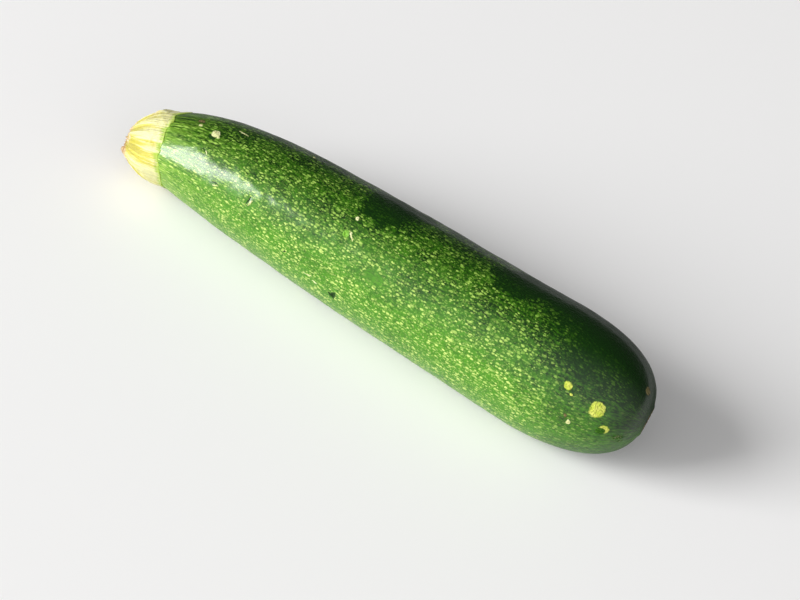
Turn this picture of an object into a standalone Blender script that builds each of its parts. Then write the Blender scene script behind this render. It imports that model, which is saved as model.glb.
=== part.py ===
"""A courgette lying on a surface: the green fruit and the pale stub of its stalk.

Units are metres and +Z is up. The fruit lies along X, with the stalk at -X and the blossom end at +X.
The origin is at the bottom centre of the whole courgette, so the surface it rests on is z = 0.

In the design formulas "along" is the distance from the cut end of the stalk, measured along X.
"""
import math

import bmesh
import bpy
import numpy as np

# ---- Driving dimensions -------------------------------------------------------------------------
TOTAL_LENGTH = 0.2012       # cut end of the stalk to the blossom end
SHOULDER_ALONG = 0.0128     # where the skin begins, at the foot of the stalk
BODY_RADIUS = 0.0209        # radius the body would have at the stalk without its neck
BODY_TAPER = 0.01415        # growth of that radius for each metre towards the blossom end
NECK_SHARE = 0.363          # share of the radius that the neck takes away at the shoulder
NECK_REACH = 0.025          # distance in which that share falls to 1/e
CAP_LENGTH = 0.0414         # length of the rounded blossom end
CAP_POWER = 2.47            # roundness of the blossom end: 2 is an ellipse, higher is blunter
NECK_DROP = 0.0030          # how far the neck bends down, and as far to -Y
NECK_DROP_REACH = 0.0138    # distance in which that bend falls to 1/e
TIP_SWAY = 0.0029           # how far the blossom end curves to +Y
TIP_SWAY_LENGTH = 0.070     # length of the curved stretch at the blossom end
CONTACT_SINK = 0.0009       # how much of the round underside the resting face flattens
REST_EDGE = 0.0001          # height at which the flattening begins, round the resting face
REST_START = 0.072          # the resting face's corners: its ends, along the fruit
REST_WIDEST = 0.111         # and its two sides, under the centre of mass
REST_END = 0.172
REST_HALF_WIDTH = 0.0052
RIB_COUNT = 5               # the fruit and its stalk are both five-sided
RIB_DEPTH_NECK = 0.020      # height of the ribs at the shoulder, as a share of the radius
RIB_DEPTH_BODY = 0.004      # the same on the body
RIB_REACH = 0.020           # distance in which the ribs fade from one to the other
RIB_PHASE = math.radians(18.0)

SCAR_RADIUS = 0.0042        # scar that the flower leaves
SCAR_DEPTH = 0.0005
SCAR_FLOOR_SHARE = 0.8      # radius of its flat floor, as a share of the scar's

STALK_LENGTH = 0.0136       # along the stalk's own axis
STALK_RADIUS = 0.0135       # at its foot
STALK_LOSS = 0.60           # share of that radius lost at the cut
STALK_POWER = 2.6           # how late along the stalk the loss comes
STALK_LOBE_FOOT = 0.03      # height of the five lobes, as a share of the radius
STALK_LOBE_CUT = 0.16
CUT_HOLLOW = 0.0008         # how far the cut face is dished
CUT_SLOPE_SHARE = 0.85      # radius of the dish half-way down, as a share of the cut's
CUT_FLOOR_SHARE = 0.45      # radius of its flat floor
GAP = 0.0003                # gap between the stalk and the fruit

SECTION_POINTS = 60         # points round each section
BODY_SECTIONS = 30
CAP_SECTIONS = 12
STALK_SECTIONS = 9
NECK_CROWDING = 1.3         # above 1 brings the body's sections closer together at the neck
AXIS_STEP = 1.0e-4          # distance over which the direction of the axis is measured


# ---- The fruit's design formulas ----------------------------------------------------------------
def body_radius(along):
    """Straight taper, narrowed by an exponential neck and closed by a superellipse cap."""
    taper = BODY_RADIUS + BODY_TAPER * along
    neck = 1.0 - NECK_SHARE * math.exp(-(along - SHOULDER_ALONG) / NECK_REACH)
    into_cap = max(0.0, (along - TOTAL_LENGTH + CAP_LENGTH) / CAP_LENGTH)
    cap = max(0.0, 1.0 - into_cap ** CAP_POWER) ** (1.0 / CAP_POWER)
    return taper * neck * cap


def centre(along):
    """The axis rises with the taper, so that the underside is level, and bends at both ends."""
    bend = NECK_DROP * math.exp(-(along - SHOULDER_ALONG) / NECK_DROP_REACH)
    sway = max(0.0, (along - TOTAL_LENGTH + TIP_SWAY_LENGTH) / TIP_SWAY_LENGTH)
    height = BODY_RADIUS + BODY_TAPER * along - CONTACT_SINK - bend
    return np.array([along, TIP_SWAY * sway ** 2 - bend, height])


def heading(along):
    """Unit vector along the axis, towards the blossom end."""
    span = centre(along + AXIS_STEP) - centre(along - AXIS_STEP)
    return span / np.linalg.norm(span)


def section_axes(forward):
    """Two unit vectors across the axis: the first lies near +Y, the second near +Z."""
    side = np.array([0.0, 1.0, 0.0])
    side = side - forward * side.dot(forward)
    side = side / np.linalg.norm(side)
    return side, np.cross(forward, side)


def ring(middle, forward, radii):
    """Points of one closed section, counted from +Y towards +Z."""
    side, up = section_axes(forward)
    turn = np.linspace(0.0, 2.0 * math.pi, SECTION_POINTS, endpoint=False)
    return middle + np.outer(radii * np.cos(turn), side) + np.outer(radii * np.sin(turn), up)


def lobed_radii(radius, depth):
    """A circle with RIB_COUNT soft ribs of the given share of its radius."""
    turn = np.linspace(0.0, 2.0 * math.pi, SECTION_POINTS, endpoint=False)
    return radius * (1.0 + depth * (np.cos(RIB_COUNT * (turn - RIB_PHASE)) - 1.0))


# ---- Mesh making --------------------------------------------------------------------------------
def add_ring(bm, points):
    """Make one closed loop of edges."""
    verts = [bm.verts.new(point) for point in points]
    pairs = zip(verts, verts[1:] + verts[:1])
    return [bm.edges.new(pair) for pair in pairs]


def skin_rings(rings):
    """Bridge neighbouring sections and close both ends with flat faces."""
    bm = bmesh.new()
    loops = [add_ring(bm, points) for points in rings]
    for first, second in zip(loops, loops[1:]):
        bmesh.ops.bridge_loops(bm, edges=first + second)
    bmesh.ops.edgeloop_fill(bm, edges=loops[0])
    bmesh.ops.edgeloop_fill(bm, edges=loops[-1])
    bmesh.ops.recalc_face_normals(bm, faces=bm.faces)
    return bm


def press_resting_face(bm):
    """Cut the underside level at REST_EDGE, and close it down to one flat four-cornered face at z = 0."""
    everything = bm.verts[:] + bm.edges[:] + bm.faces[:]
    cut = bmesh.ops.bisect_plane(bm, geom=everything, plane_co=(0, 0, REST_EDGE),
                                 plane_no=(0, 0, 1), clear_inner=True)
    rim = [item for item in cut["geom_cut"] if isinstance(item, bmesh.types.BMEdge)]
    start, widest, end = centre(REST_START), centre(REST_WIDEST), centre(REST_END)
    side = np.array([0.0, REST_HALF_WIDTH, 0.0])
    on_surface = np.array([1.0, 1.0, 0.0])
    corners = [start * on_surface, (widest - side) * on_surface,
               end * on_surface, (widest + side) * on_surface]
    face_edges = add_ring(bm, corners)
    bmesh.ops.bridge_loops(bm, edges=rim + face_edges)
    bmesh.ops.edgeloop_fill(bm, edges=face_edges)
    bmesh.ops.recalc_face_normals(bm, faces=bm.faces)


def make_object(name, bm, material, sharp_angle):
    """Turn a finished bmesh into a named, smooth-shaded object with one material."""
    mesh = bpy.data.meshes.new(name)
    bm.to_mesh(mesh)
    bm.free()
    mesh.materials.append(material)
    mesh.shade_smooth()
    mesh.set_sharp_from_angle(angle=sharp_angle)
    piece = bpy.data.objects.new(name, mesh)
    bpy.context.collection.objects.link(piece)
    return piece


def make_material(name, colour, roughness):
    """A plain Principled finish; neither piece is metallic."""
    material = bpy.data.materials.new(name)
    material.use_nodes = True
    shader = material.node_tree.nodes["Principled BSDF"]
    shader.inputs["Base Color"].default_value = (*colour, 1.0)
    shader.inputs["Roughness"].default_value = roughness
    shader.inputs["Metallic"].default_value = 0.0
    return material


# ---- Sub-parts ----------------------------------------------------------------------------------
def fruit_stations():
    """Distances along the fruit: closer together at the neck, and evenly round the blossom end."""
    cap_start = TOTAL_LENGTH - CAP_LENGTH
    share = np.linspace(0.0, 1.0, BODY_SECTIONS)
    body = SHOULDER_ALONG + (cap_start - SHOULDER_ALONG) * share ** NECK_CROWDING
    quarter = np.linspace(0.0, 0.5 * math.pi, CAP_SECTIONS + 2)[1:-1]
    cap = cap_start + CAP_LENGTH * np.sin(quarter) ** (2.0 / CAP_POWER)
    return np.concatenate([body, cap])


def make_fruit():
    """Green fruit: sections along the bent axis, a flower scar at the tip and a flat resting face."""
    rings = []
    for along in fruit_stations():
        fade = math.exp(-(along - SHOULDER_ALONG) / RIB_REACH)
        depth = RIB_DEPTH_BODY + (RIB_DEPTH_NECK - RIB_DEPTH_BODY) * fade
        rings.append(ring(centre(along), heading(along), lobed_radii(body_radius(along), depth)))
    tip = centre(TOTAL_LENGTH)
    forward = heading(TOTAL_LENGTH)
    scar_rim = np.full(SECTION_POINTS, SCAR_RADIUS)
    rings.append(ring(tip - 0.5 * SCAR_DEPTH * forward, forward, scar_rim))
    rings.append(ring(tip - SCAR_DEPTH * forward, forward, SCAR_FLOOR_SHARE * scar_rim))
    bm = skin_rings(rings)
    press_resting_face(bm)
    skin = make_material("courgette_skin", (0.045, 0.150, 0.018), 0.34)
    return make_object("fruit", bm, skin, math.radians(50.0))


def make_stem_stub():
    """Stalk stub: five lobes that grow towards a dished cut, on the axis of the bent neck."""
    foot = centre(SHOULDER_ALONG)
    forward = heading(SHOULDER_ALONG)
    rings = []
    for share in np.linspace(0.0, 1.0, STALK_SECTIONS):
        radius = STALK_RADIUS * (1.0 - STALK_LOSS * share ** STALK_POWER)
        depth = STALK_LOBE_FOOT + (STALK_LOBE_CUT - STALK_LOBE_FOOT) * share
        middle = foot - forward * (GAP + (STALK_LENGTH - GAP) * share)
        rings.append(ring(middle, forward, lobed_radii(radius, depth)))
    rim = foot - forward * STALK_LENGTH
    cut_radii = lobed_radii(STALK_RADIUS * (1.0 - STALK_LOSS), STALK_LOBE_CUT)
    rings.append(ring(rim + 0.5 * CUT_HOLLOW * forward, forward, CUT_SLOPE_SHARE * cut_radii))
    rings.append(ring(rim + CUT_HOLLOW * forward, forward, CUT_FLOOR_SHARE * cut_radii))
    stalk = make_material("courgette_stalk", (0.620, 0.600, 0.250), 0.62)
    return make_object("stem_stub", skin_rings(rings), stalk, math.radians(40.0))


def centre_on_origin(pieces):
    """Slide the meshes level, so that the origin is at the middle of the whole courgette's box."""
    corners = np.array([vert.co[:2] for piece in pieces for vert in piece.data.vertices])
    middle = 0.5 * (corners.min(axis=0) + corners.max(axis=0))
    for piece in pieces:
        for vert in piece.data.vertices:
            vert.co.x -= middle[0]
            vert.co.y -= middle[1]


def main():
    for old in list(bpy.data.objects):
        bpy.data.objects.remove(old, do_unlink=True)
    pieces = [make_fruit(), make_stem_stub()]
    centre_on_origin(pieces)


main()
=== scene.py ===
"""A courgette: its fine skin, its cut stalk and their finishes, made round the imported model.

Sizes are in metres. "Along" is the distance from the cut end of the stalk, and "turn" is the angle
round the axis, counted from +Y towards +Z. Both pieces are closed surfaces of those two numbers.
"""

import math

import bpy
import numpy as np
from mathutils import Matrix, Vector


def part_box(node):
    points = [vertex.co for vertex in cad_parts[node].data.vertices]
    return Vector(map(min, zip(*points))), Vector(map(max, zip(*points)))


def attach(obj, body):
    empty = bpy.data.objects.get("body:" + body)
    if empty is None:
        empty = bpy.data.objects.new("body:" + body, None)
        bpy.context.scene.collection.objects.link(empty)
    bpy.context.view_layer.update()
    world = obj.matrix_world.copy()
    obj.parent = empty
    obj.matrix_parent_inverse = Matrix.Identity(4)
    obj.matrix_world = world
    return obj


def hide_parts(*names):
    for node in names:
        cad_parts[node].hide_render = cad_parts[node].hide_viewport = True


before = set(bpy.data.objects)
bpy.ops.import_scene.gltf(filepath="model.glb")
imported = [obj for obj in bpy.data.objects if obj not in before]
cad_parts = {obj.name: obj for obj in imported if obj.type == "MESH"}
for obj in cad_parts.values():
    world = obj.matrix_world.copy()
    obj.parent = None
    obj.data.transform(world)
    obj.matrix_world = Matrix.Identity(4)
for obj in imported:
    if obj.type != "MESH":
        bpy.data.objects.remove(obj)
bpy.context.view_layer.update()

MM = 0.001
FULL_TURN = 2.0 * math.pi

# ---- The fruit's measures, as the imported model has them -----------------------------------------
TOTAL_LENGTH = 201.2 * MM
SHOULDER = 12.8 * MM            # along, where the skin begins at the foot of the stalk
BODY_RADIUS = 20.9 * MM
BODY_TAPER = 0.01415
NECK_SHARE = 0.363
NECK_REACH = 25.0 * MM
CAP_LENGTH = 41.4 * MM
CAP_POWER = 2.47
NECK_DROP = 3.0 * MM
NECK_DROP_REACH = 13.8 * MM
TIP_SWAY = 2.9 * MM
TIP_SWAY_LENGTH = 70.0 * MM
CONTACT_SINK = 0.9 * MM
RIB_COUNT = 5
RIB_DEPTH_NECK = 0.020
RIB_DEPTH_BODY = 0.004
RIB_REACH = 20.0 * MM
RIB_PHASE = math.radians(18.0)

# ---- Finer measures of the fruit ----------------------------------------------------------------
SCAR_RADIUS = 4.2 * MM          # of the dished scar that the flower leaves at the tip
SCAR_DEPTH = 0.5 * MM
SCAR_CORK_ENDS = (5.4, 4.4)     # mm from the middle of that scar, where its cork fades out
TIP_ZONE = (30.0 * MM, 10.0 * MM)   # from the tip, where the scar's relief fades in
LUMP_HEIGHT = 0.055 * MM        # of the soft unevenness of the skin
PORE_HEIGHT = 0.020 * MM        # and of the finer unevenness over it
PIT_EDGE = (1.2, 0.5)           # from where to where a mark's pit deepens, counted in its half sizes
MARK_EDGE = (1.3, 0.7)          # and its dull finish fades in

# ---- Where the skin's colours and flecks lie ----------------------------------------------------
# The greens are palest on the side turned to the window and darkest on the far upper side: partly the
# skin's own colour, partly painted light and shade.
PALE_AND_LIT_TURN = math.radians(200.0)             # turn of the leaf green side, opposite the darkest green
GREEN_FADES = (125.0 * MM, 180.0 * MM)      # along, where leaf green fades on the dark side
GREEN_LINGERS = 22.0 * MM                   # and how much further it reaches on the pale side
FLECKS_FADE = (130.0 * MM, 162.0 * MM)      # the same for the flecks
FLECKS_LINGER = 32.0 * MM
STREAK_REACH = 13.0 * MM                    # from the shoulder, in which streaks fall to 1/e
STRETCH_AT_STALK = 8.0                      # length of a fleck for its width
STRETCH_ON_BODY = 1.9

# ---- The stalk's measures -----------------------------------------------------------------------
STALK_LENGTH = 14.6 * MM        # along X, at the middle of the cut
STALK_LOSS = 0.56               # share of the foot's radius lost at the cut
STALK_POWER = 2.1               # how late along the stalk the loss comes
STALK_LEAN = 1.2 * MM           # how far the stalk leans at its cut
STALK_LEAN_TURN = math.radians(224.0)
CUT_SLOPE = 1.3                 # mm by which the rim is cut back at its shortest side
CUT_SLOPE_TURN = math.radians(75.0)
LIP_REACH = 0.25 * MM           # how far the foot's rounded lip runs on along the skin
LIP_DROP = 0.6 * MM             # and how far it turns down into it
INNER_END = 0.4 * MM            # distance of the hidden inner end from the shoulder
INNER_RADIUS = 11.0 * MM
TORN_LOBE = ((66, 17, 1.0),)    # turn and half width in degrees of the lobe torn off short
TORN_HEIGHT = 0.7 * MM          # and how far it stands proud

# ---- How fine the two pieces are ----------------------------------------------------------------
SKIN_ROWS = 352
SKIN_COLUMNS = 270
STALK_COLUMNS = 288
FACE_ROWS = 40
SIDE_ROWS = 84
LIP_ROWS = 10
TUCK = 1.6 * MM                 # how far the skin runs on under the foot of the stalk
TUCK_SLOPE = 0.5                # and how steeply it drops away there
CONTACT_SOFTNESS = 0.1 * MM     # roundness of the edge of the flattened underside
REFERENCE_RADIUS = 22.0 * MM    # radius of the straight cylinder that patterns are laid out on

# ---- Broad, shallow swellings: along, turn, length, spread, height (mm, degrees, mm, degrees, mm)
SWELLINGS = (
    (163, 215, 34, 60, 0.50),
    (120, 20, 44, 60, 0.30),
    (62, 350, 30, 50, -0.25),
    (58, 215, 30, 50, -0.30),
    (31, 150, 24, 46, 0.25),
    (150, 120, 34, 60, 0.20),
    (100, 300, 50, 60, 0.35),
    (178, 330, 30, 70, -0.30),
    (103, 148, 12, 20, -0.12),
)

# ---- Patches with few flecks: along, turn, length, spread, greenness lost (mm, degrees) ---------
CALM_PATCHES = (
    (93, 83, 18, 50, 0.60),
    (98, 66, 22, 30, 0.60),
    (143, 82, 20, 36, 0.55),
    (152, 70, 30, 34, 0.50),
    (103, 148, 9, 15, -0.12),
    (82, 258, 20, 34, 0.40),
    (130, 320, 26, 30, 0.50),
    (47, 340, 16, 30, 0.40),
    (165, 10, 18, 30, 0.40),
)

# ---- Ridges of the stalk: turn, half width in degrees, height in mm -----------------------------
RIDGES = (
    (52, 9, 0.75),
    (76, 9, 0.80),
    (102, 9, 0.80),
    (126, 11, 1.00),
    (147, 6, 0.35),
    (191, 17, 1.00),
    (233, 13, 0.90),
    (270, 12, 0.80),
    (310, 14, 1.00),
    (350, 12, 0.85),
    (22, 11, 0.90),
)

# ---- Where the stalk's foot reaches out over the skin: turn, half width in degrees, reach in mm -
FOOT_LOBES = (
    (60, 18, 3.2),
    (102, 9, 0.9),
    (128, 9, 0.5),
    (191, 14, 0.7),
    (236, 12, 1.1),
    (275, 14, 0.5),
    (318, 16, 1.6),
    (5, 14, 0.7),
)


# ---- Small tools for whole arrays ---------------------------------------------------------------
def smooth_step(low, high, value):
    """0 at low, 1 at high, and a cubic S between them. Low may be the higher number."""
    share = np.clip((value - low) / (high - low), 0.0, 1.0)
    return share * share * (3.0 - 2.0 * share)


def turn_apart(turn, other):
    """Signed angle from other to turn, the short way round."""
    return np.angle(np.exp(1j * (turn - other)))


def bells(turn, named_bells):
    """Sum of bell curves round the axis, each with its own turn, half width and height."""
    total = np.zeros(np.shape(turn))
    for middle, half_width, height in named_bells:
        apart = turn_apart(turn, math.radians(middle)) / math.radians(half_width)
        total = total + height * np.exp(-apart ** 2)
    return total


def patch(along, turn, middle, angle, length, spread):
    """Bell over a patch of the skin: 1 at its middle, and 1/e half its length or spread away."""
    ahead = (along - middle * MM) / (0.5 * length * MM)
    around = turn_apart(turn, math.radians(angle)) / math.radians(0.5 * spread)
    return np.exp(-ahead ** 2 - around ** 2)


def lumps(places, count, longest, shortest, seed):
    """Soft noise of about -1 to 1: a sum of cosines along random directions in space."""
    draw = np.random.default_rng(seed)
    total = np.zeros(places.shape[:-1])
    for _ in range(count):
        length = longest * (shortest / longest) ** draw.random()
        direction = draw.normal(size=3)
        direction = direction / np.linalg.norm(direction)
        phase = draw.uniform(0.0, FULL_TURN)
        total = total + np.cos(places @ direction * (FULL_TURN / length) + phase)
    return total / math.sqrt(count)


# ---- The bent axis and the plain body -----------------------------------------------------------
def body_radius(along):
    """Straight taper, narrowed by an exponential neck and closed by a superellipse cap."""
    taper = BODY_RADIUS + BODY_TAPER * along
    neck = 1.0 - NECK_SHARE * np.exp(-(along - SHOULDER) / NECK_REACH)
    into_cap = np.clip((along - TOTAL_LENGTH + CAP_LENGTH) / CAP_LENGTH, 0.0, 1.0)
    return taper * neck * (1.0 - into_cap ** CAP_POWER) ** (1.0 / CAP_POWER)


def axis_point(along):
    """The axis rises with the taper, bends down and to -Y at the neck, and to +Y at the tip.

    Short of the shoulder it runs straight on, in the direction that it has there.
    """
    on_fruit = np.maximum(along, SHOULDER)
    bend = NECK_DROP * np.exp(-(on_fruit - SHOULDER) / NECK_DROP_REACH)
    bend = bend * (1.0 + (on_fruit - along) / NECK_DROP_REACH)
    sway = np.clip((along - TOTAL_LENGTH + TIP_SWAY_LENGTH) / TIP_SWAY_LENGTH, 0.0, None)
    height = BODY_RADIUS + BODY_TAPER * along - CONTACT_SINK - bend
    return np.stack([along, TIP_SWAY * sway ** 2 - bend, height], axis=-1)


def round_axis(along, turn, radius):
    """Points at a radius from the axis, each in the plane across the axis at its own place."""
    step = 0.1 * MM
    forward = axis_point(along + step) - axis_point(along - step)
    forward = forward / np.linalg.norm(forward, axis=-1, keepdims=True)
    side = np.array([0.0, 1.0, 0.0]) - forward * forward[..., 1:2]
    side = side / np.linalg.norm(side, axis=-1, keepdims=True)
    up = np.cross(forward, side)
    across = side * np.cos(turn)[..., None] + up * np.sin(turn)[..., None]
    return axis_point(along) + across * radius[..., None]


def near_tip(along):
    """Share of the tip's relief: 0 on the body and 1 at the tip."""
    return smooth_step(TOTAL_LENGTH - TIP_ZONE[0], TOTAL_LENGTH - TIP_ZONE[1], along)


def laid_out(along, turn):
    """The same places on a straight cylinder of the reference radius, where patterns are drawn."""
    around = REFERENCE_RADIUS * np.stack([np.cos(turn), np.sin(turn)], axis=-1)
    along = np.broadcast_to(along, np.shape(turn))
    return np.concatenate([along[..., None], around], axis=-1)


def home_shift():
    """From the design's own frame to the row's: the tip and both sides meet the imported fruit's box."""
    low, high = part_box("fruit")
    along = np.linspace(SHOULDER, TOTAL_LENGTH, 800)
    middle = axis_point(along)[:, 1]
    sides = 0.5 * ((middle + body_radius(along)).max() + (middle - body_radius(along)).min())
    return np.array([high[0] - TOTAL_LENGTH, 0.5 * (low[1] + high[1]) - sides, 0.0])


HOME = home_shift()


# ---- Marks on the skin --------------------------------------------------------------------------
class Mark:
    """A scar, nick or spot, given in mm and degrees.

    It has a place, a full size, a slant, and a depth, which is negative for a hump.
    """

    def __init__(self, along, turn, length, width, slant=0.0, depth=0.0):
        self.along = along * MM
        self.turn = math.radians(turn)
        self.half_length = 0.5 * length * MM
        self.half_width = 0.5 * width * MM * REFERENCE_RADIUS / float(body_radius(along * MM))
        self.slant = math.radians(slant)
        self.depth = depth * MM

    def reach(self, along, turn):
        """Distance from its middle, counted in half lengths and half widths."""
        ahead = along - self.along
        around = REFERENCE_RADIUS * turn_apart(turn, self.turn)
        first = ahead * math.cos(self.slant) + around * math.sin(self.slant)
        second = around * math.cos(self.slant) - ahead * math.sin(self.slant)
        return np.hypot(first / self.half_length, second / self.half_width)


MARKS = {
    "round_scar": Mark(186.4, 148, 4.8, 5.2, 0, -0.10),
    "crescent": Mark(190.9, 165, 3.0, 3.0, 0, 0.0),
    "crescent_bite": Mark(190.1, 168, 3.0, 2.7, 0, 0.08),
    "small_scar": Mark(175.1, 141, 2.9, 2.6, 20, -0.06),
    "small_scar_tail": Mark(177.2, 146, 0.9, 0.8, 0, 0.0),
    "brown_speck": Mark(178.5, 165, 1.5, 1.0, 60, 0.06),
    "pale_speck": Mark(180.2, 170, 1.7, 1.0, 70, 0.06),
    "rough_patch": Mark(195.6, 174, 3.4, 2.2, 30, 0.0),
    "rough_patch_end": Mark(196.6, 182, 1.6, 1.0, 0, 0.0),
    "brown_spot": Mark(197.1, 93, 1.8, 2.8, 0, 0.05),
    "corky_spot": Mark(29.2, 102, 2.8, 2.7, 0, -0.22),
    "corky_tail": Mark(30.6, 105, 1.3, 0.8, 25, -0.06),
    # A darker rim in a pit beside the raised corky spot: partly the scar's own olive, partly its painted
    # shadow.
    "corky_rim_and_shade": Mark(28.8, 107, 3.2, 2.2, 10, 0.20),
    "twin_spot": Mark(22.3, 89, 2.1, 1.9, 0, 0.10),
    "twin_spot_below": Mark(23.0, 97, 1.3, 1.1, 0, 0.06),
    "scratch": Mark(36.8, 86, 3.8, 0.55, 14, 0.05),
    "slash": Mark(52.0, 149, 0.7, 3.4, 12, 0.12),
    "slash_lip": Mark(53.0, 151, 0.6, 2.4, 14, -0.06),
    "nick_dark": Mark(28.8, 126, 1.8, 0.45, 40, 0.06),
    "nick_pale": Mark(30.2, 128, 1.8, 0.40, 60, 0.0),
    "low_nick_dark": Mark(38.0, 152, 2.6, 0.45, -10, 0.05),
    "low_nick_pale": Mark(38.6, 154, 2.2, 0.40, -10, 0.0),
    "green_nick": Mark(87.4, 128.5, 2.4, 2.0, 50, 0.10),
    "green_nick_start": Mark(85.9, 124.5, 0.8, 0.8, 0, 0.05),
    "green_nick_edge": Mark(89.3, 127.5, 3.9, 0.6, 41, -0.03),
    "dark_nick": Mark(92.3, 187, 1.8, 3.2, 20, 0.18),
    "dark_nick_arm": Mark(91.6, 189, 3.6, 1.1, 35, 0.10),
    "low_scratch": Mark(81.2, 182.5, 3.4, 0.5, -12, -0.03),
    "low_scratch_end": Mark(84.6, 186, 2.2, 0.4, 8, -0.03),
    "pinhole": Mark(71.0, 174, 0.9, 0.9, 0, 0.12),
    "pale_dot": Mark(60.6, 69, 1.1, 1.2, 0, -0.05),
    "beige_dots": Mark(87.4, 111, 1.3, 1.5, 0, 0.0),
    "far_scar": Mark(64.0, 262, 3.2, 4.0, 10, -0.08),
    "far_scratch": Mark(118.0, 352, 9.0, 0.6, 12, 0.06),
    "far_nick": Mark(141.0, 240, 2.6, 1.0, 35, 0.12),
    "far_spot": Mark(158.0, 300, 2.4, 2.2, 0, 0.06),
    "far_dot": Mark(95.0, 20, 1.4, 1.4, 0, 0.0),
}


# ---- The skin -----------------------------------------------------------------------------------
def skin_radius(along, turn):
    """The body's radius with soft ribs, broad swellings, fine lumps and the pits of the marks."""
    on_fruit = np.maximum(along, SHOULDER)
    fade = np.exp(-(on_fruit - SHOULDER) / RIB_REACH)
    depth = RIB_DEPTH_BODY + (RIB_DEPTH_NECK - RIB_DEPTH_BODY) * fade
    radius = body_radius(on_fruit) * (1.0 + depth * (np.cos(RIB_COUNT * (turn - RIB_PHASE)) - 1.0))
    calm = 0.3 + 0.7 * smooth_step(0.5 * CAP_LENGTH, CAP_LENGTH, TOTAL_LENGTH - along)
    calm = calm * smooth_step(0.0, 3.0 * MM, TOTAL_LENGTH - along)
    for middle, angle, length, spread, height in SWELLINGS:
        radius = radius + height * MM * calm * patch(along, turn, middle, angle, length, spread)
    places = laid_out(on_fruit, turn)
    radius = radius + LUMP_HEIGHT * calm * lumps(places, 26, 26.0 * MM, 9.0 * MM, 11)
    radius = radius + PORE_HEIGHT * calm * lumps(places, 40, 6.0 * MM, 2.6 * MM, 12)
    for mark in MARKS.values():
        radius = radius - mark.depth * smooth_step(*PIT_EDGE, mark.reach(along, turn))
    return radius


def tip_relief(radius, turn):
    """Height along the axis near the tip: a dished flower scar with a low rim and radial folds."""
    dish = -SCAR_DEPTH * smooth_step(1.1 * SCAR_RADIUS, 0.75 * SCAR_RADIUS, radius)
    rim = 0.25 * MM * np.exp(-((radius - 1.2 * SCAR_RADIUS) / (0.8 * MM)) ** 2)
    knob = 0.35 * MM * smooth_step(1.3 * MM, 0.5 * MM, radius)
    fold = 0.5 * np.cos(14.0 * turn) + 0.5 * np.cos(23.0 * turn + 1.0)
    folds = 0.07 * MM * fold * np.exp(-((radius - 0.95 * SCAR_RADIUS) / (1.6 * MM)) ** 2)
    return dish + rim + knob + folds


def even_stations(first, last, count):
    """Distances along the axis whose places on the skin's profile lie evenly apart."""
    along = first + (last - first) * np.sin(np.linspace(0.0, 0.5 * math.pi, 6000))
    run = np.hypot(np.diff(along), np.diff(body_radius(np.maximum(along, SHOULDER))))
    run = np.concatenate([[0.0], np.cumsum(run)])
    return np.interp(np.linspace(0.0, run[-1], count), run, along)


def drawn_along(along):
    """Distance along with the flecks' length taken out: they are long streaks close to the stalk."""
    run = np.maximum(along, SHOULDER) - SHOULDER
    saved = (1.0 / STRETCH_ON_BODY - 1.0 / STRETCH_AT_STALK) * STREAK_REACH
    return run / STRETCH_ON_BODY - saved * (1.0 - np.exp(-run / STREAK_REACH))


def skin_patterns(along, turn, radius):
    """What the skin's finish reads: two layouts, four shares and the distance from the tip's axis.

    Greenness is a raised cosine round the axis, squared, that fades towards the blossom end. Its
    pale side faces the window, so the greens are partly the skin's own colour and partly painted
    light and shade. The flecks fade there too and along the dark side, and both are less in the calm
    patches; a broad patch of painted shade thins the flecks along the upper side.
    """
    places = laid_out(along, turn)
    grown = places.copy()
    grown[..., 0] = drawn_along(along)
    soft = lumps(places, 30, 34.0 * MM, 12.0 * MM, 21)
    # pale_and_lit_side is highest on the side turned to the window: partly painted light.
    pale_and_lit_side = 0.5 + 0.5 * np.cos(turn - PALE_AND_LIT_TURN)
    green = 1.05 * pale_and_lit_side ** 2 + 0.08 * soft
    green = green - 0.55 * smooth_step(*GREEN_FADES, along - GREEN_LINGERS * pale_and_lit_side)
    flecked = 1.0 - 0.85 * smooth_step(*FLECKS_FADE, along - FLECKS_LINGER * pale_and_lit_side)
    # A broad patch along the upper side, turned away from the window, has fewer flecks: painted shade.
    flecked = flecked - 0.50 * patch(along, turn, 120, 64, 260, 66) + 0.08 * soft
    edge = 0.25 * lumps(places, 24, 9.0 * MM, 3.0 * MM, 22)
    for middle, angle, length, spread, loss in CALM_PATCHES:
        calm = smooth_step(0.30, 0.55, patch(along, turn, middle, angle, length, spread) + 0.3 * edge)
        flecked = flecked * (1.0 - 0.85 * calm)
        green = green - loss * calm
    marked = np.zeros(np.shape(along))
    for mark in MARKS.values():
        marked = np.maximum(marked, smooth_step(*MARK_EDGE, mark.reach(along, turn)))
    from_tip = radius / MM + 30.0 * (1.0 - near_tip(along))
    return {
        "laid_out": places,
        "grown": grown,
        "marked": np.maximum(marked, smooth_step(*SCAR_CORK_ENDS, from_tip)),
        "green": np.clip(green, -0.6, 1.0),
        "flecked": np.clip(flecked, 0.0, 1.0),
        "neck": np.exp(-(np.maximum(along, SHOULDER) - SHOULDER) / STREAK_REACH),
        "from_tip": from_tip,
    }


def on_table(height):
    """Heights below the table are pressed up to it, with a soft edge."""
    return 0.5 * (height + np.sqrt(height ** 2 + CONTACT_SOFTNESS ** 2))


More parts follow.
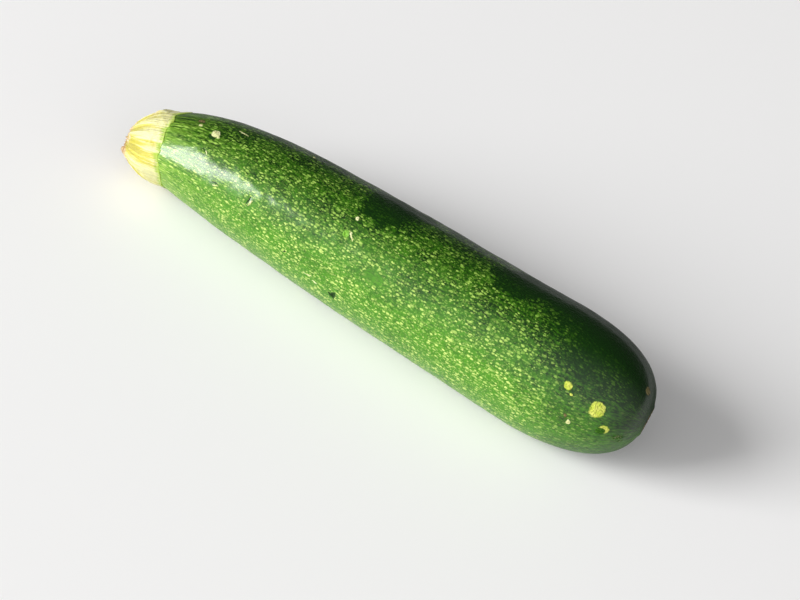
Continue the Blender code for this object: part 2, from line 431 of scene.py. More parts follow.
def make_skin(finish):
    """The green skin, a surface of along and turn: the bent axis plus skin_radius across it.

    Near the tip the scar's relief is added along X. What lies below the table is pressed up to it, and
    the rows that run on under the stalk drop away in a straight slope.
    """
    stations = even_stations(SHOULDER - TUCK, TOTAL_LENGTH, SKIN_ROWS + 1)[:-1]
    turns = np.linspace(0.0, FULL_TURN, SKIN_COLUMNS, endpoint=False)
    along, turn = np.meshgrid(stations, turns, indexing="ij")
    radius = skin_radius(along, turn) - TUCK_SLOPE * np.maximum(SHOULDER - along, 0.0)
    places = round_axis(along, turn, radius)
    places[..., 0] += tip_relief(radius, turn) * near_tip(along)
    end_along = np.array([SHOULDER - TUCK, TOTAL_LENGTH])
    ends = axis_point(end_along)
    ends[1, 0] += tip_relief(np.zeros(1), np.zeros(1))[0]
    places = places + HOME
    places[..., 2] = on_table(places[..., 2])
    patterns = skin_patterns(along, turn, radius)
    end_patterns = skin_patterns(end_along, np.zeros(2), np.zeros(2))
    return closed_piece("courgette_skin", places, ends + HOME, patterns, end_patterns, finish)


# ---- The stalk ----------------------------------------------------------------------------------
def cut_along(turn):
    """Where the ragged, sloping rim of the cut lies, a little further out at each ridge."""
    ragged = lumps(0.4 * laid_out(np.zeros(1), turn), 30, 3.0 * MM, 0.9 * MM, 31)
    slope = CUT_SLOPE * np.cos(turn - CUT_SLOPE_TURN)
    return SHOULDER - STALK_LENGTH + (0.50 * ragged + slope - 0.35 * bells(turn, RIDGES)) * MM


def foot_along(turn):
    """Where the foot of the stalk ends on the skin: it reaches out in lobes."""
    ragged = lumps(laid_out(np.zeros(1), turn), 20, 9.0 * MM, 2.5 * MM, 32)
    return SHOULDER + (0.15 + 0.26 * ragged + bells(turn, FOOT_LOBES)) * MM


def stalk_side_radius(along, turn):
    """The skin's own radius at the foot, less a power of the way to the cut, with ridges and fibres.

    A lobe that is torn off stands proud until half-way, and the whole leans to one side near the cut.
    """
    turn = np.broadcast_to(turn, along.shape)
    outward = np.clip((SHOULDER - along) / STALK_LENGTH, 0.0, 1.15)
    foot = skin_radius(np.maximum(along, SHOULDER), turn)
    radius = foot * (1.0 - STALK_LOSS * outward ** STALK_POWER)
    fibres = lumps(laid_out(0.12 * along, turn), 40, 5.0 * MM, 1.6 * MM, 33)
    knots = lumps(laid_out(4.0 * along, turn), 20, 9.0 * MM, 4.0 * MM, 34)
    height = 0.12 + 1.35 * smooth_step(0.0, 0.8, outward)
    radius = radius + (0.22 + height * (bells(turn, RIDGES) - 0.55)) * MM
    torn_end = smooth_step(0.1, 0.35, outward) * smooth_step(0.50, 0.43, outward)
    radius = radius + TORN_HEIGHT * bells(turn, TORN_LOBE) * torn_end
    radius = radius + STALK_LEAN * outward ** 2 * np.cos(turn - STALK_LEAN_TURN)
    return radius + (0.05 + 0.10 * outward) * MM * fibres + 0.05 * MM * knots


def stalk_face(turn):
    """Rows of the cut face, from its middle to its rim: along, radius and share of the rim's radius.

    The face is dished, with a raised ring, crumbs of dry tissue and an edge that rolls over.
    """
    share = np.linspace(0.02, 1.0, FACE_ROWS)[:, None] + np.zeros(turn.shape)
    rim = cut_along(turn)
    radius = share * stalk_side_radius(rim, turn)
    flat = np.stack([radius * np.cos(turn), radius * np.sin(turn), np.zeros(radius.shape)], axis=-1)
    dish = 0.9 * MM * smooth_step(0.95, 0.35, share)
    ring = -0.30 * MM * np.exp(-((share - 0.55) / 0.10) ** 2)
    crumbs = 0.16 * MM * lumps(flat, 60, 2.4 * MM, 0.8 * MM, 35) * smooth_step(1.0, 0.85, share)
    rolled = 0.55 * MM * (smooth_step(0.80, 1.0, share) ** 2 - 1.0)
    middle = SHOULDER - STALK_LENGTH
    level = middle + (rim - middle) * smooth_step(0.2, 0.8, share)
    return level + dish + ring + crumbs + rolled, radius, share


def stalk_grid():
    """All rows of the stalk from the middle of the cut to its foot, tucked under at the end."""
    turn = np.linspace(0.0, FULL_TURN, STALK_COLUMNS, endpoint=False)[None, :]
    face_along, face_radius, face_share = stalk_face(turn)
    down = np.linspace(0.0, 1.0, SIDE_ROWS + 1)[1:, None]
    side_along = cut_along(turn) + (foot_along(turn) - cut_along(turn)) * down
    side_radius = stalk_side_radius(side_along, turn)
    round_lip = np.linspace(0.0, 0.5 * math.pi, LIP_ROWS + 1)[1:, None]
    lip_along = foot_along(turn) + LIP_REACH * np.sin(round_lip)
    lip_radius = stalk_side_radius(foot_along(turn), turn) - LIP_DROP * (1.0 - np.cos(round_lip))
    inner_along = np.full((1, STALK_COLUMNS), SHOULDER - INNER_END)
    inner_radius = np.full((1, STALK_COLUMNS), INNER_RADIUS)
    along = np.concatenate([face_along, side_along, lip_along, inner_along])
    radius = np.concatenate([face_radius, side_radius, lip_radius, inner_radius])
    on_side = np.zeros((len(along) - FACE_ROWS, STALK_COLUMNS))
    on_face = np.concatenate([smooth_step(1.02, 0.9, face_share), on_side])
    return along, np.broadcast_to(turn, along.shape), radius, on_face


def stalk_patterns(along, turn, radius, on_face):
    """What the stalk's finish reads: a straight layout for its fibres, its ridges and its torn end.

    It also reads how near the cut, the middle of the cut's face and the edge of the foot are.
    """
    out = (SHOULDER - along) / STALK_LENGTH
    torn = bells(turn, TORN_LOBE) * smooth_step(0.34, 0.42, out) * smooth_step(0.60, 0.50, out)
    return {
        "laid_out": laid_out(along, turn),
        "ridge": np.clip(bells(turn, RIDGES), 0.0, 1.0),
        "outward": np.clip(out, 0.0, 1.1),
        "on_face": on_face,
        "torn": torn,
        "from_middle": radius / MM,
        "to_edge": (foot_along(turn) + LIP_REACH - along) / MM,
    }


def make_stalk(finish):
    """The ridged stalk, a surface of along and turn: the bent axis plus the rows of stalk_grid.

    It narrows to its cut, with a dished corky face, and its foot laps over the skin.
    """
    along, turn, radius, on_face = stalk_grid()
    places = round_axis(along, turn, radius) + HOME
    end_along = np.array([along[0].mean(), SHOULDER - INNER_END])
    ends = axis_point(end_along) + HOME
    patterns = stalk_patterns(along, turn, radius, on_face)
    end_patterns = stalk_patterns(end_along, np.zeros(2), np.zeros(2), np.array([1.0, 0.0]))
    return closed_piece("cut_stalk", places, ends, patterns, end_patterns, finish)


# ---- Mesh making --------------------------------------------------------------------------------
def closed_piece(name, rows, ends, patterns, end_patterns, finish):
    """A closed surface: a grid of rows round the axis, and a fan of triangles to a point at each end.

    Rows run towards +X and columns from +Y towards +Z, so the faces point outwards. Each pattern
    has a number or a vector for every point of the grid, and for the two end points.
    """
    count, across = rows.shape[:2]
    row, column = np.meshgrid(np.arange(count - 1), np.arange(across), indexing="ij")
    beside = (column + 1) % across
    corners = [row * across + column, row * across + beside,
               (row + 1) * across + beside, (row + 1) * across + column]
    quads = np.stack(corners, axis=-1).reshape(-1, 4)
    here = np.arange(across)
    beside = (here + 1) % across
    last_row = (count - 1) * across
    opening = np.stack([beside, here, np.full(across, count * across)], axis=-1)
    last_end = np.full(across, count * across + 1)
    closing = np.stack([last_row + here, last_row + beside, last_end], axis=-1)
    mesh = bpy.data.meshes.new(name)
    points = np.concatenate([rows.reshape(-1, 3), ends])
    mesh.from_pydata(points.tolist(), [], quads.tolist() + opening.tolist() + closing.tolist())
    for label, grid in patterns.items():
        vector = grid.ndim == 3
        end_values = end_patterns[label].reshape(2, -1)
        values = np.concatenate([grid.reshape(count * across, -1), end_values])
        layer = mesh.attributes.new(label, "FLOAT_VECTOR" if vector else "FLOAT", "POINT")
        layer.data.foreach_set("vector" if vector else "value", values.astype(np.float32).ravel())
    lay_flat(mesh, count, across)
    mesh.materials.append(finish)
    mesh.shade_smooth()
    piece = bpy.data.objects.new(name, mesh)
    bpy.context.scene.collection.objects.link(piece)
    return piece


def lay_flat(mesh, count, across):
    """UV map of the grid: rows along U and columns along V, with the two fans at its edges."""
    row, column = np.meshgrid(np.arange(count - 1), np.arange(across), indexing="ij")
    along_rows = np.stack([row, row, row + 1, row + 1], axis=-1) + 1.0
    round_columns = np.stack([column, column + 1, column + 1, column], axis=-1)
    quads = np.stack([along_rows, round_columns], axis=-1).reshape(-1, 2)
    here = np.arange(across)
    one = np.ones(across)
    opening = np.stack([np.stack([one, one, 0.0 * one], axis=-1),
                        np.stack([here + 1.0, here, here + 0.5], axis=-1)], axis=-1).reshape(-1, 2)
    closing = np.stack([np.stack([count * one, count * one, (count + 1) * one], axis=-1),
                        np.stack([here, here + 1.0, here + 0.5], axis=-1)], axis=-1).reshape(-1, 2)
    flat = np.concatenate([quads, opening, closing]) / np.array([count + 1.0, across])
    layer = mesh.uv_layers.new(name="OFBake")
    layer.data.foreach_set("uv", flat.astype(np.float32).ravel())


# ---- Node making --------------------------------------------------------------------------------
class Nodes:
    """Adds nodes to one tree. Each input is a socket to link from, or a constant to set."""

    def __init__(self, tree):
        self.tree = tree

    def put(self, socket, value):
        if isinstance(value, bpy.types.NodeSocket):
            self.tree.links.new(value, socket)
        elif socket.type == "RGBA" and len(value) == 3:
            socket.default_value = (*value, 1.0)
        else:
            socket.default_value = value

    def add(self, kind, inputs, **settings):
        node = self.tree.nodes.new(kind)
        for name, value in settings.items():
            setattr(node, name, value)
        for key, value in inputs.items():
            self.put(node.inputs[key], value)
        return node

    def maths(self, operation, *values, clamp=False):
        node = self.add("ShaderNodeMath", dict(enumerate(values)), operation=operation, use_clamp=clamp)
        return node.outputs[0]

    def vector(self, operation, *values):
        node = self.add("ShaderNodeVectorMath", dict(enumerate(values)), operation=operation)
        return node.outputs["Value" if operation in ("LENGTH", "DOT_PRODUCT") else "Vector"]

    def scaled(self, vector, factor):
        node = self.add("ShaderNodeVectorMath", {"Vector": vector, "Scale": factor}, operation="SCALE")
        return node.outputs["Vector"]

    def rise(self, value, low, high, to_low=0.0, to_high=1.0):
        """Smooth step from low to high, which may be the other way round."""
        inputs = {"Value": value, "From Min": low, "From Max": high,
                  "To Min": to_low, "To Max": to_high}
        node = self.add("ShaderNodeMapRange", inputs, interpolation_type="SMOOTHSTEP")
        return node.outputs["Result"]

    def blend(self, share, first, second):
        """Colour: the first at 0 and the second at 1.

        The node has sockets of the same names for numbers and colours, so they are counted.
        """
        node = self.add("ShaderNodeMix", {}, data_type="RGBA")
        for index, value in ((0, share), (6, first), (7, second)):
            self.put(node.inputs[index], value)
        return node.outputs[2]

    def noise(self, vector, scale, detail=2.0, roughness=0.5, colour=False):
        inputs = {"Vector": vector, "Scale": scale, "Detail": detail, "Roughness": roughness}
        return self.add("ShaderNodeTexNoise", inputs).outputs["Color" if colour else "Fac"]

    def pattern(self, name, vector=False):
        """A pattern that the mesh carries."""
        node = self.add("ShaderNodeAttribute", {}, attribute_name=name)
        return node.outputs["Vector" if vector else "Fac"]

    def group(self, tree, inputs):
        return self.add("ShaderNodeGroup", inputs, node_tree=tree).outputs


def new_group(name, inputs, outputs):
    """An empty group with its sockets: names with their kinds, such as ("Width", "Float")."""
    tree = bpy.data.node_groups.new(name, "ShaderNodeTree")
    for label, kind in inputs:
        tree.interface.new_socket(label, in_out="INPUT", socket_type="NodeSocket" + kind)
    for label, kind in outputs:
        tree.interface.new_socket(label, in_out="OUTPUT", socket_type="NodeSocket" + kind)
    nodes = Nodes(tree)
    given = tree.nodes.new("NodeGroupInput").outputs
    result = tree.nodes.new("NodeGroupOutput").inputs
    return tree, nodes, given, result


def streaks_group():
    """Long streaks along the fruit or the stalk: noise that is drawn out along X."""
    tree, nodes, given, result = new_group(
        "long_streaks",
        [("Vector", "Vector"), ("Width", "Float"), ("Length", "Float")],
        [("Streak", "Float")])
    across = nodes.maths("DIVIDE", 1.0, given["Width"])
    ahead = nodes.maths("DIVIDE", 1.0, given["Length"])
    scale = nodes.add("ShaderNodeCombineXYZ", {"X": ahead, "Y": across, "Z": across}).outputs[0]
    drawn = nodes.vector("MULTIPLY", given["Vector"], scale)
    field = nodes.noise(drawn, 1.0, detail=3.0, roughness=0.55)
    nodes.put(result["Streak"], nodes.rise(field, 0.34, 0.66))
    return tree


def cork_group():
    """Dry corky tissue: its crumbs' height, and a blotchy share for its colour."""
    tree, nodes, given, result = new_group(
        "dry_cork",
        [("Vector", "Vector"), ("Crumb", "Float")],
        [("Blotch", "Float"), ("Height", "Float")])
    scale = nodes.maths("DIVIDE", 1.0, given["Crumb"])
    cells = nodes.add("ShaderNodeTexVoronoi", {"Vector": given["Vector"], "Scale": scale})
    rough = nodes.noise(given["Vector"], scale, detail=4.0, roughness=0.65)
    coarse = nodes.maths("MULTIPLY", scale, 0.35)
    blotch = nodes.noise(given["Vector"], coarse, detail=3.0, roughness=0.6)
    nodes.put(result["Blotch"], nodes.rise(blotch, 0.32, 0.68))
    dip = nodes.maths("MULTIPLY", cells.outputs["Distance"], -0.6)
    nodes.put(result["Height"], nodes.maths("ADD", dip, rough))
    return tree


def flecks_group():
    """Pale flecks: one in each random cell, cut off at a distance that differs from cell to cell."""
    tree, nodes, given, result = new_group(
        "flecks",
        [("Vector", "Vector"), ("Spacing", "Float"), ("Size", "Float"), ("Softness", "Float")],
        [("Mask", "Float"), ("Lot", "Float")])
    scale = nodes.maths("DIVIDE", 1.0, given["Spacing"])
    cells = nodes.add("ShaderNodeTexVoronoi", {"Vector": given["Vector"], "Scale": scale})
    lot = nodes.add("ShaderNodeSeparateColor", {"Color": cells.outputs["Color"]}).outputs
    edge = nodes.maths("MULTIPLY", given["Size"], nodes.maths("ADD", 0.45, lot["Red"]))
    inner = nodes.maths("SUBTRACT", edge, given["Softness"])
    nodes.put(result["Mask"], nodes.rise(cells.outputs["Distance"], edge, inner))
    nodes.put(result["Lot"], lot["Green"])
    return tree


def grain_group():
    """Fine grain that breaks up a gloss: small rounded cells with noise over them."""
    tree, nodes, given, result = new_group(
        "fine_grain",
        [("Vector", "Vector"), ("Size", "Float")],
        [("Height", "Float")])
    scale = nodes.maths("DIVIDE", 1.0, given["Size"])
    place = {"Vector": given["Vector"], "Scale": scale}
    cells = nodes.add("ShaderNodeTexVoronoi", place, feature="SMOOTH_F1")
    rough = nodes.noise(given["Vector"], nodes.maths("MULTIPLY", scale, 0.7), detail=3.0)
    dip = nodes.maths("MULTIPLY", cells.outputs["Distance"], 0.6)
    nodes.put(result["Height"], nodes.maths("SUBTRACT", rough, dip))
    return tree


def new_finish(name):
    """A material with an empty tree but for its Principled shader."""
    material = bpy.data.materials.new(name)
    material.use_nodes = True
    return material, Nodes(material.node_tree), material.node_tree.nodes["Principled BSDF"]


# ---- The skin's finish --------------------------------------------------------------------------
DEEP_GREEN = (0.0040, 0.0240, 0.0020)
LEAF_GREEN = (0.0540, 0.1980, 0.0060)
FLECK_YELLOW = (0.1200, 0.3500, 0.0120)
FLECK_PALE = (0.4800, 0.6100, 0.1500)
STREAK_GREEN = (0.2300, 0.4000, 0.0400)
ROUGH_TAN = (0.36, 0.36, 0.20)
SCAR_BROWN = (0.16, 0.10, 0.045)
SCAR_TAN = (0.42, 0.34, 0.18)
SCAR_CORE = (0.07, 0.04, 0.02)

# Sizes of fleck: the size and the softness are shares of the spacing.
SMALL_FLECKS = {"Spacing": 0.72 * MM, "Size": 0.44, "Softness": 0.19}
LARGE_FLECKS = {"Spacing": 1.70 * MM, "Size": 0.26, "Softness": 0.15}
TINY_FLECKS = {"Spacing": 0.45 * MM, "Size": 0.46, "Softness": 0.34}

WAX_WEIGHT = 0.78               # of the gloss coat on sound skin
WAX_LOST = 0.62                 # of that weight, on a mark
WAX_ROUGHNESS = 0.18
GLANCING = (0.35, 0.85)         # from facing (0) to edge-on (1), where fine wax stops mirroring
SKIN_RELIEF = 0.24 * MM

# Finish of each kind of mark: two colours, then its marks. Later kinds lie over earlier ones.
MARK_KINDS = (
    # The first kind darkens the pits of nicks and cuts: partly their own dark tissue, partly painted
    # shade in the hollows.
    ((0.008, 0.030, 0.004), (0.020, 0.070, 0.010),
     ("corky_rim_and_shade", "slash", "nick_dark", "low_nick_dark", "green_nick_start",
      "dark_nick", "dark_nick_arm", "pinhole", "far_nick")),
    ((0.050, 0.042, 0.014), (0.24, 0.20, 0.08),
     ("twin_spot", "brown_spot", "brown_speck", "far_spot")),
    ((0.15, 0.36, 0.030), (0.20, 0.42, 0.060),
     ("green_nick",)),
    ((0.43, 0.52, 0.05), (0.58, 0.60, 0.12),
     ("round_scar", "small_scar", "small_scar_tail", "crescent", "far_scar", "far_dot")),
    ((0.48, 0.50, 0.19), (0.68, 0.69, 0.38),
     ("corky_spot", "corky_tail", "pale_speck", "pale_dot", "scratch", "slash_lip", "nick_pale",
      "low_nick_pale", "green_nick_edge", "twin_spot_below", "beige_dots", "low_scratch",
      "low_scratch_end", "far_scratch")),
)


def mark_reach(nodes, wobbled, mark):
    """Distance from the middle of a mark, counted in its half sizes, on the laid-out cylinder."""
    tilt = Matrix.Rotation(mark.turn + 0.5 * math.pi, 3, "X") @ Matrix.Rotation(mark.slant, 3, "Z")
    inputs = {
        "Vector": wobbled,
        "Location": Vector(laid_out(np.array(mark.along), np.array(mark.turn))),
        "Rotation": tilt.to_euler("XYZ"),
        "Scale": (mark.half_length, mark.half_width, 10.0 * MM),
    }
    local = nodes.add("ShaderNodeMapping", inputs, vector_type="TEXTURE").outputs["Vector"]
    return nodes.vector("LENGTH", local)


def nearest_mark(nodes, wobbled, names):
    """The smallest reach of several marks. The crescent is a spot with a bite out of it."""
    nearest = None
    for name in names:
        reach = mark_reach(nodes, wobbled, MARKS[name])
        if name == "crescent":
            bite = mark_reach(nodes, wobbled, MARKS["crescent_bite"])
            reach = nodes.maths("MAXIMUM", reach, nodes.maths("SUBTRACT", 2.0, bite))
        nearest = reach if nearest is None else nodes.maths("MINIMUM", nearest, reach)
    return nearest


def wobbled_by(nodes, place, size, amount):
    """The same vector, pushed about by soft noise, so that outlines come out ragged."""
    push = nodes.noise(place, 1.0 / size, detail=3.0, colour=True)
    push = nodes.scaled(nodes.vector("SUBTRACT", push, (0.5, 0.5, 0.5)), amount)
    return nodes.vector("ADD", place, push)


def skin_colour(nodes, place, groups):
    """Two greens, streaks at the neck and three sizes of flecks. Returns the colour and the flecks."""
    grown = wobbled_by(nodes, nodes.pattern("grown", vector=True), 0.7 * MM, 0.45 * MM)
    cloud = nodes.noise(place, 1.0 / (7.0 * MM), detail=3.0)
    mottle = nodes.noise(grown, 1.0 / (0.75 * MM), detail=2.0)
    drawn = {"Vector": place, "Width": 0.8 * MM, "Length": 14.0 * MM}
    streak = nodes.group(groups["streaks"], drawn)["Streak"]
    # The green share carries the painted light and shade of the pale and dark sides, as well as the
    # skin's own greens.
    share = nodes.maths("ADD", nodes.pattern("green"), nodes.maths("MULTIPLY_ADD", cloud, 0.7, -0.35))
    share = nodes.maths("ADD", share, nodes.maths("MULTIPLY_ADD", mottle, 1.3, -0.65))
    share = nodes.maths("ADD", share, nodes.maths("MULTIPLY_ADD", streak, 0.20, -0.10), clamp=True)
    colour = nodes.blend(share, DEEP_GREEN, LEAF_GREEN)
    lined = nodes.maths("MULTIPLY_ADD", nodes.pattern("green"), 0.6, 0.35)
    lined = nodes.maths("MULTIPLY", nodes.pattern("neck"), lined)
    lined = nodes.maths("MULTIPLY", streak, lined, clamp=True)
    colour = nodes.blend(lined, colour, STREAK_GREEN)
    small = nodes.group(groups["flecks"], {"Vector": grown, **SMALL_FLECKS})
    large = nodes.group(groups["flecks"], {"Vector": grown, **LARGE_FLECKS})
    tiny = nodes.group(groups["flecks"], {"Vector": grown, **TINY_FLECKS})
    small_share = nodes.maths("MULTIPLY", small["Mask"], nodes.rise(small["Lot"], -0.2, 0.9, 0.0, 0.95))
    large_share = nodes.maths("MULTIPLY", large["Mask"], nodes.rise(large["Lot"], 0.35, 0.95, 0.0, 0.8))
    flecks = nodes.maths("MAXIMUM", small_share, large_share)
    flecks = nodes.maths("MAXIMUM", flecks, nodes.maths("MULTIPLY", tiny["Mask"], 0.40))
    flecks = nodes.maths("MULTIPLY", flecks, nodes.pattern("flecked"), clamp=True)
    at_foot = nodes.maths("MULTIPLY_ADD", streak, 0.06, nodes.pattern("neck"))
    colour = nodes.blend(nodes.rise(at_foot, 0.90, 1.04, 0.0, 0.7), colour, STREAK_GREEN)
    # Flecks are paler where the green is high, on the side turned to the window: partly painted light.
    pale = nodes.maths("MULTIPLY", nodes.pattern("green"), 0.8)
    pale = nodes.maths("MULTIPLY_ADD", small["Lot"], 0.35, pale, clamp=True)
    fleck_colour = nodes.blend(pale, FLECK_YELLOW, FLECK_PALE)
    return nodes.blend(flecks, colour, fleck_colour), flecks


def tip_colour(nodes, colour, place, groups):
    """The flower scar: brown cork with a dark core."""
    from_tip = nodes.pattern("from_tip")
    cork = nodes.group(groups["cork"], {"Vector": place, "Crumb": 0.9 * MM})
    ragged = nodes.maths("ADD", from_tip, nodes.maths("MULTIPLY", cork["Blotch"], 0.9))
    scar = nodes.rise(ragged, *SCAR_CORK_ENDS)
    tissue = nodes.blend(cork["Blotch"], SCAR_BROWN, SCAR_TAN)
    tissue = nodes.blend(nodes.rise(from_tip, 1.6, 1.0), tissue, SCAR_CORE)
    return nodes.blend(scar, colour, tissue)


def make_skin_finish(groups):
    """Waxy green skin: flecks over two greens, streaks at the neck, marks, and a soft wax gloss.

    The wax is fine-grained and mirrors little edge-on, least of all on the dark side. Marks are dull.
    """
    material, nodes, shader = new_finish("waxy_green_skin")
    place = nodes.pattern("laid_out", vector=True)
    colour, flecks = skin_colour(nodes, place, groups)
    wobbled = wobbled_by(nodes, place, 1.3 * MM, 1.3 * MM)
    cork = nodes.group(groups["cork"], {"Vector": place, "Crumb": 0.6 * MM})
    for first, second, names in MARK_KINDS:
        mask = nodes.rise(nearest_mark(nodes, wobbled, names), 1.12, 0.88)
        colour = nodes.blend(mask, colour, nodes.blend(cork["Blotch"], first, second))
    rough = nearest_mark(nodes, wobbled, ("rough_patch", "rough_patch_end"))
    rough = nodes.rise(rough, 1.2, 0.2)
    rough = nodes.maths("MULTIPLY", rough, nodes.rise(cork["Height"], 0.24, 0.40))
    colour = nodes.blend(rough, colour, ROUGH_TAN)
    nodes.put(shader.inputs["Base Color"], tip_colour(nodes, colour, place, groups))
    marked = nodes.pattern("marked")
    grain = nodes.group(groups["grain"], {"Vector": place, "Size": 0.60 * MM})["Height"]
    matte = nodes.rise(nodes.noise(place, 1.0 / (9.0 * MM), detail=3.0), 0.3, 0.7, 0.32, 0.42)
    matte = nodes.maths("ADD", matte, nodes.maths("MULTIPLY", marked, 0.25))
    nodes.put(shader.inputs["Roughness"], matte)
    glancing = nodes.add("ShaderNodeLayerWeight", {"Blend": 0.5}).outputs["Facing"]
    least = nodes.maths("MULTIPLY_ADD", nodes.pattern("green"), 0.45, 0.10, clamp=True)
    wax = nodes.maths("MULTIPLY_ADD", marked, -WAX_LOST, WAX_WEIGHT)
    wax = nodes.maths("MULTIPLY", wax, nodes.rise(glancing, *GLANCING, 1.0, least))
    nodes.put(shader.inputs["Coat Weight"], wax)
    shader.inputs["Coat Roughness"].default_value = WAX_ROUGHNESS
    shader.inputs["Specular IOR Level"].default_value = 0.02
    crumbs = nodes.maths("MULTIPLY", nodes.maths("MULTIPLY", cork["Height"], marked), 2.0)
    height = nodes.maths("ADD", grain, nodes.maths("MULTIPLY", flecks, 0.35))
    height = nodes.maths("ADD", height, crumbs)
    bump = nodes.add("ShaderNodeBump", {"Height": height, "Strength": 1.0, "Distance": SKIN_RELIEF})
    nodes.put(shader.inputs["Normal"], bump.outputs["Normal"])
    return material


# ---- The stalk's finish -------------------------------------------------------------------------
# Stalk colours: the ridges' cream is partly painted highlight, the grooves' yellow and olive partly
# painted shade.
RIDGE_CREAM_AND_HIGHLIGHT = (0.58, 0.56, 0.27)
STALK_YELLOW_AND_SHADE = (0.46, 0.41, 0.035)
GROOVE_OLIVE_AND_SHADE = (0.34, 0.29, 0.035)
FOOT_LIME = (0.30, 0.44, 0.03)
CORK_PALE = (0.62, 0.50, 0.28)
CORK_BROWN = (0.28, 0.13, 0.035)
PITH = (0.70, 0.62, 0.36)
FINE_FIBRES = {"Width": 0.9 * MM, "Length": 9.0 * MM}
BROAD_FIBRES = {"Width": 2.6 * MM, "Length": 12.0 * MM}
STALK_RELIEF = 0.10 * MM


def make_stalk_finish(groups):
    """Pale fibrous stalk: cream ridges, yellow grooves, a lime edge at its foot and brown cork.

    The cork is on the cut and where the lobe is torn off. The cream of the ridges is partly painted
    highlight, and the yellow and olive of the grooves are partly painted shade.
    """
    material, nodes, shader = new_finish("pale_stalk")
    place = nodes.pattern("laid_out", vector=True)
    solid = nodes.add("ShaderNodeTexCoord", {}).outputs["Object"]
    outward = nodes.pattern("outward")
    on_face = nodes.pattern("on_face")
    fine = nodes.group(groups["streaks"], {"Vector": place, **FINE_FIBRES})["Streak"]
    broad = nodes.group(groups["streaks"], {"Vector": place, **BROAD_FIBRES})["Streak"]
    # How lit each place looks: high on the ridges and low in the grooves, partly the stalk's own colour
    # and partly painted light and shade.
    lit = nodes.maths("ADD", nodes.pattern("ridge"), nodes.maths("MULTIPLY_ADD", broad, 0.5, -0.25))
    lit = nodes.maths("ADD", lit, nodes.maths("MULTIPLY_ADD", fine, 0.6, -0.30))
    lit = nodes.maths("ADD", lit, nodes.maths("MULTIPLY_ADD", outward, -0.8, 0.38))
    colour = nodes.blend(nodes.rise(lit, 0.10, 0.75), STALK_YELLOW_AND_SHADE, RIDGE_CREAM_AND_HIGHLIGHT)
    # Olive deep in the grooves further out: painted shade in the creases.
    far_out = nodes.rise(outward, 0.15, 0.6, 0.0, 0.7)
    groove = nodes.maths("MULTIPLY", nodes.rise(lit, 0.10, -0.25), far_out)
    colour = nodes.blend(groove, colour, GROOVE_OLIVE_AND_SHADE)
    ragged = nodes.maths("MULTIPLY_ADD", fine, 1.6, -0.8)
    to_edge = nodes.maths("ADD", nodes.pattern("to_edge"), ragged)
    colour = nodes.blend(nodes.rise(to_edge, 2.0, 0.5, 0.0, 0.9), colour, FOOT_LIME)
    cork = nodes.group(groups["cork"], {"Vector": solid, "Crumb": 0.8 * MM})
    dry = nodes.maths("ADD", outward, nodes.maths("MULTIPLY_ADD", cork["Blotch"], 0.16, -0.08))
    dry = nodes.maths("MAXIMUM", nodes.rise(dry, 0.88, 0.98), on_face)
    torn = nodes.maths("MULTIPLY", nodes.pattern("torn"), nodes.rise(cork["Blotch"], -0.2, 0.6))
    dry = nodes.maths("MAXIMUM", dry, torn)
    colour = nodes.blend(dry, colour, nodes.blend(cork["Blotch"], CORK_BROWN, CORK_PALE))
    pith = nodes.rise(nodes.pattern("from_middle"), 2.6, 1.6, 0.0, 0.7)
    pith = nodes.maths("MULTIPLY", pith, on_face)
    colour = nodes.blend(pith, colour, PITH)
    nodes.put(shader.inputs["Base Color"], colour)
    nodes.put(shader.inputs["Roughness"], nodes.maths("MULTIPLY_ADD", dry, 0.30, 0.48))
    nodes.put(shader.inputs["Coat Weight"], nodes.maths("MULTIPLY_ADD", dry, -0.12, 0.12))
    shader.inputs["Coat Roughness"].default_value = 0.35
    shader.inputs["Subsurface Weight"].default_value = 0.25
    shader.inputs["Subsurface Radius"].default_value = (1.0, 0.8, 0.25)
    shader.inputs["Subsurface Scale"].default_value = 1.2 * MM
    grain = nodes.group(groups["grain"], {"Vector": place, "Size": 0.6 * MM})["Height"]
    grain = nodes.maths("MULTIPLY", grain, 0.6)
    height = nodes.maths("ADD", nodes.maths("MULTIPLY", fine, 1.3), grain)
    crumbs = nodes.maths("MULTIPLY", nodes.maths("MULTIPLY", cork["Height"], dry), 4.0)
    height = nodes.maths("ADD", height, crumbs)
    bump = nodes.add("ShaderNodeBump", {"Height": height, "Strength": 1.0, "Distance": STALK_RELIEF})
    nodes.put(shader.inputs["Normal"], bump.outputs["Normal"])
    return material


# ---- Floor, light and camera --------------------------------------------------------------------
VIEW_TURN = math.radians(17.4)          # 0 looks along +Y
VIEW_HEIGHT = math.radians(45.0)
VIEW_ROLL = math.radians(20.0)
VIEW_DISTANCE = 0.68
VIEW_TARGET = Vector((8.4, -0.5, 11.3)) * MM
LENS = 90.0
FLOOR_SIZE = 8.0
FLOOR_TONE = (0.92, 0.914, 0.910)
SKY_LEAST = 0.07                        # behind the fruit
SKY_MOST = 1.15                         # in front of it
SKY_BRIGHT_SIDE = (0.30, -0.94, -0.10)
SKY_SPREAD = (-0.45, 0.90)              # cosine of the angle to that side, where it is least and most
WINDOW_DIRECTION = Vector((-0.69, -0.63, 0.34))
WINDOW_DISTANCE = 7.0
WINDOW_WIDTH = 3.1
WINDOW_HEIGHT = 4.7
WINDOW_RADIANCE = 18.0


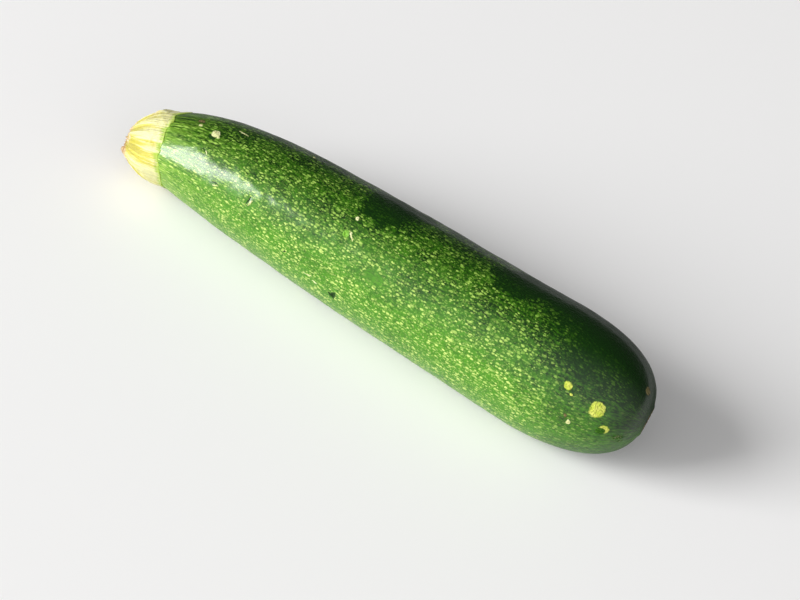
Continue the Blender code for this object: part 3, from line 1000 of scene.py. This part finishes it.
def make_camera():
    """A long lens that looks down on the fruit, rolled so that the fruit slants across the frame."""
    back = Vector((math.sin(VIEW_TURN) * math.cos(VIEW_HEIGHT),
                   -math.cos(VIEW_TURN) * math.cos(VIEW_HEIGHT), math.sin(VIEW_HEIGHT)))
    level = Vector((math.cos(VIEW_TURN), math.sin(VIEW_TURN), 0.0))
    upright = back.cross(level)
    right = level * math.cos(VIEW_ROLL) + upright * math.sin(VIEW_ROLL)
    up = upright * math.cos(VIEW_ROLL) - level * math.sin(VIEW_ROLL)
    camera = bpy.data.objects.new("camera", bpy.data.cameras.new("camera"))
    camera.data.lens = LENS
    camera.data.clip_start = 0.01
    turn = Matrix((right, up, back)).transposed().to_4x4()
    camera.matrix_world = Matrix.Translation(VIEW_TARGET + back * VIEW_DISTANCE) @ turn
    bpy.context.scene.collection.objects.link(camera)
    bpy.context.scene.camera = camera


def make_floor():
    """A wide, plain pale floor."""
    half = 0.5 * FLOOR_SIZE
    corners = [(-half, -half, 0.0), (half, -half, 0.0), (half, half, 0.0), (-half, half, 0.0)]
    mesh = bpy.data.meshes.new("floor")
    mesh.from_pydata(corners, [], [(0, 1, 2, 3)])
    material, _, shader = new_finish("pale_floor")
    shader.inputs["Base Color"].default_value = (*FLOOR_TONE, 1.0)
    shader.inputs["Roughness"].default_value = 0.7
    mesh.materials.append(material)
    floor = bpy.data.objects.new("floor", mesh)
    bpy.context.scene.collection.objects.link(floor)


def make_light():
    """A white room that is bright in front and dim behind, and one tall window to the left."""
    world = bpy.data.worlds.new("studio")
    world.use_nodes = True
    nodes = Nodes(world.node_tree)
    sight = nodes.add("ShaderNodeTexCoord", {}).outputs["Generated"]
    toward = nodes.vector("DOT_PRODUCT", sight, SKY_BRIGHT_SIDE)
    background = world.node_tree.nodes["Background"]
    background.inputs["Color"].default_value = (1.0, 1.0, 1.0, 1.0)
    nodes.put(background.inputs["Strength"], nodes.rise(toward, *SKY_SPREAD, SKY_LEAST, SKY_MOST))
    bpy.context.scene.world = world
    light = bpy.data.lights.new("window", "AREA")
    light.shape = "RECTANGLE"
    light.size = WINDOW_WIDTH
    light.size_y = WINDOW_HEIGHT
    light.energy = WINDOW_RADIANCE * math.pi * WINDOW_WIDTH * WINDOW_HEIGHT
    window = bpy.data.objects.new("window", light)
    direction = WINDOW_DIRECTION.normalized()
    window.location = VIEW_TARGET + direction * WINDOW_DISTANCE
    window.rotation_euler = direction.to_track_quat("Z", "Y").to_euler()
    bpy.context.scene.collection.objects.link(window)
    bpy.context.scene.view_settings.view_transform = "Standard"


def main():
    make_camera()
    make_floor()
    make_light()
    groups = {
        "streaks": streaks_group(),
        "cork": cork_group(),
        "flecks": flecks_group(),
        "grain": grain_group(),
    }
    skin = make_skin(make_skin_finish(groups))
    stalk = make_stalk(make_stalk_finish(groups))
    for piece, node in ((skin, "fruit"), (stalk, "stem_stub")):
        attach(piece, "root")
        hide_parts(node)


main()
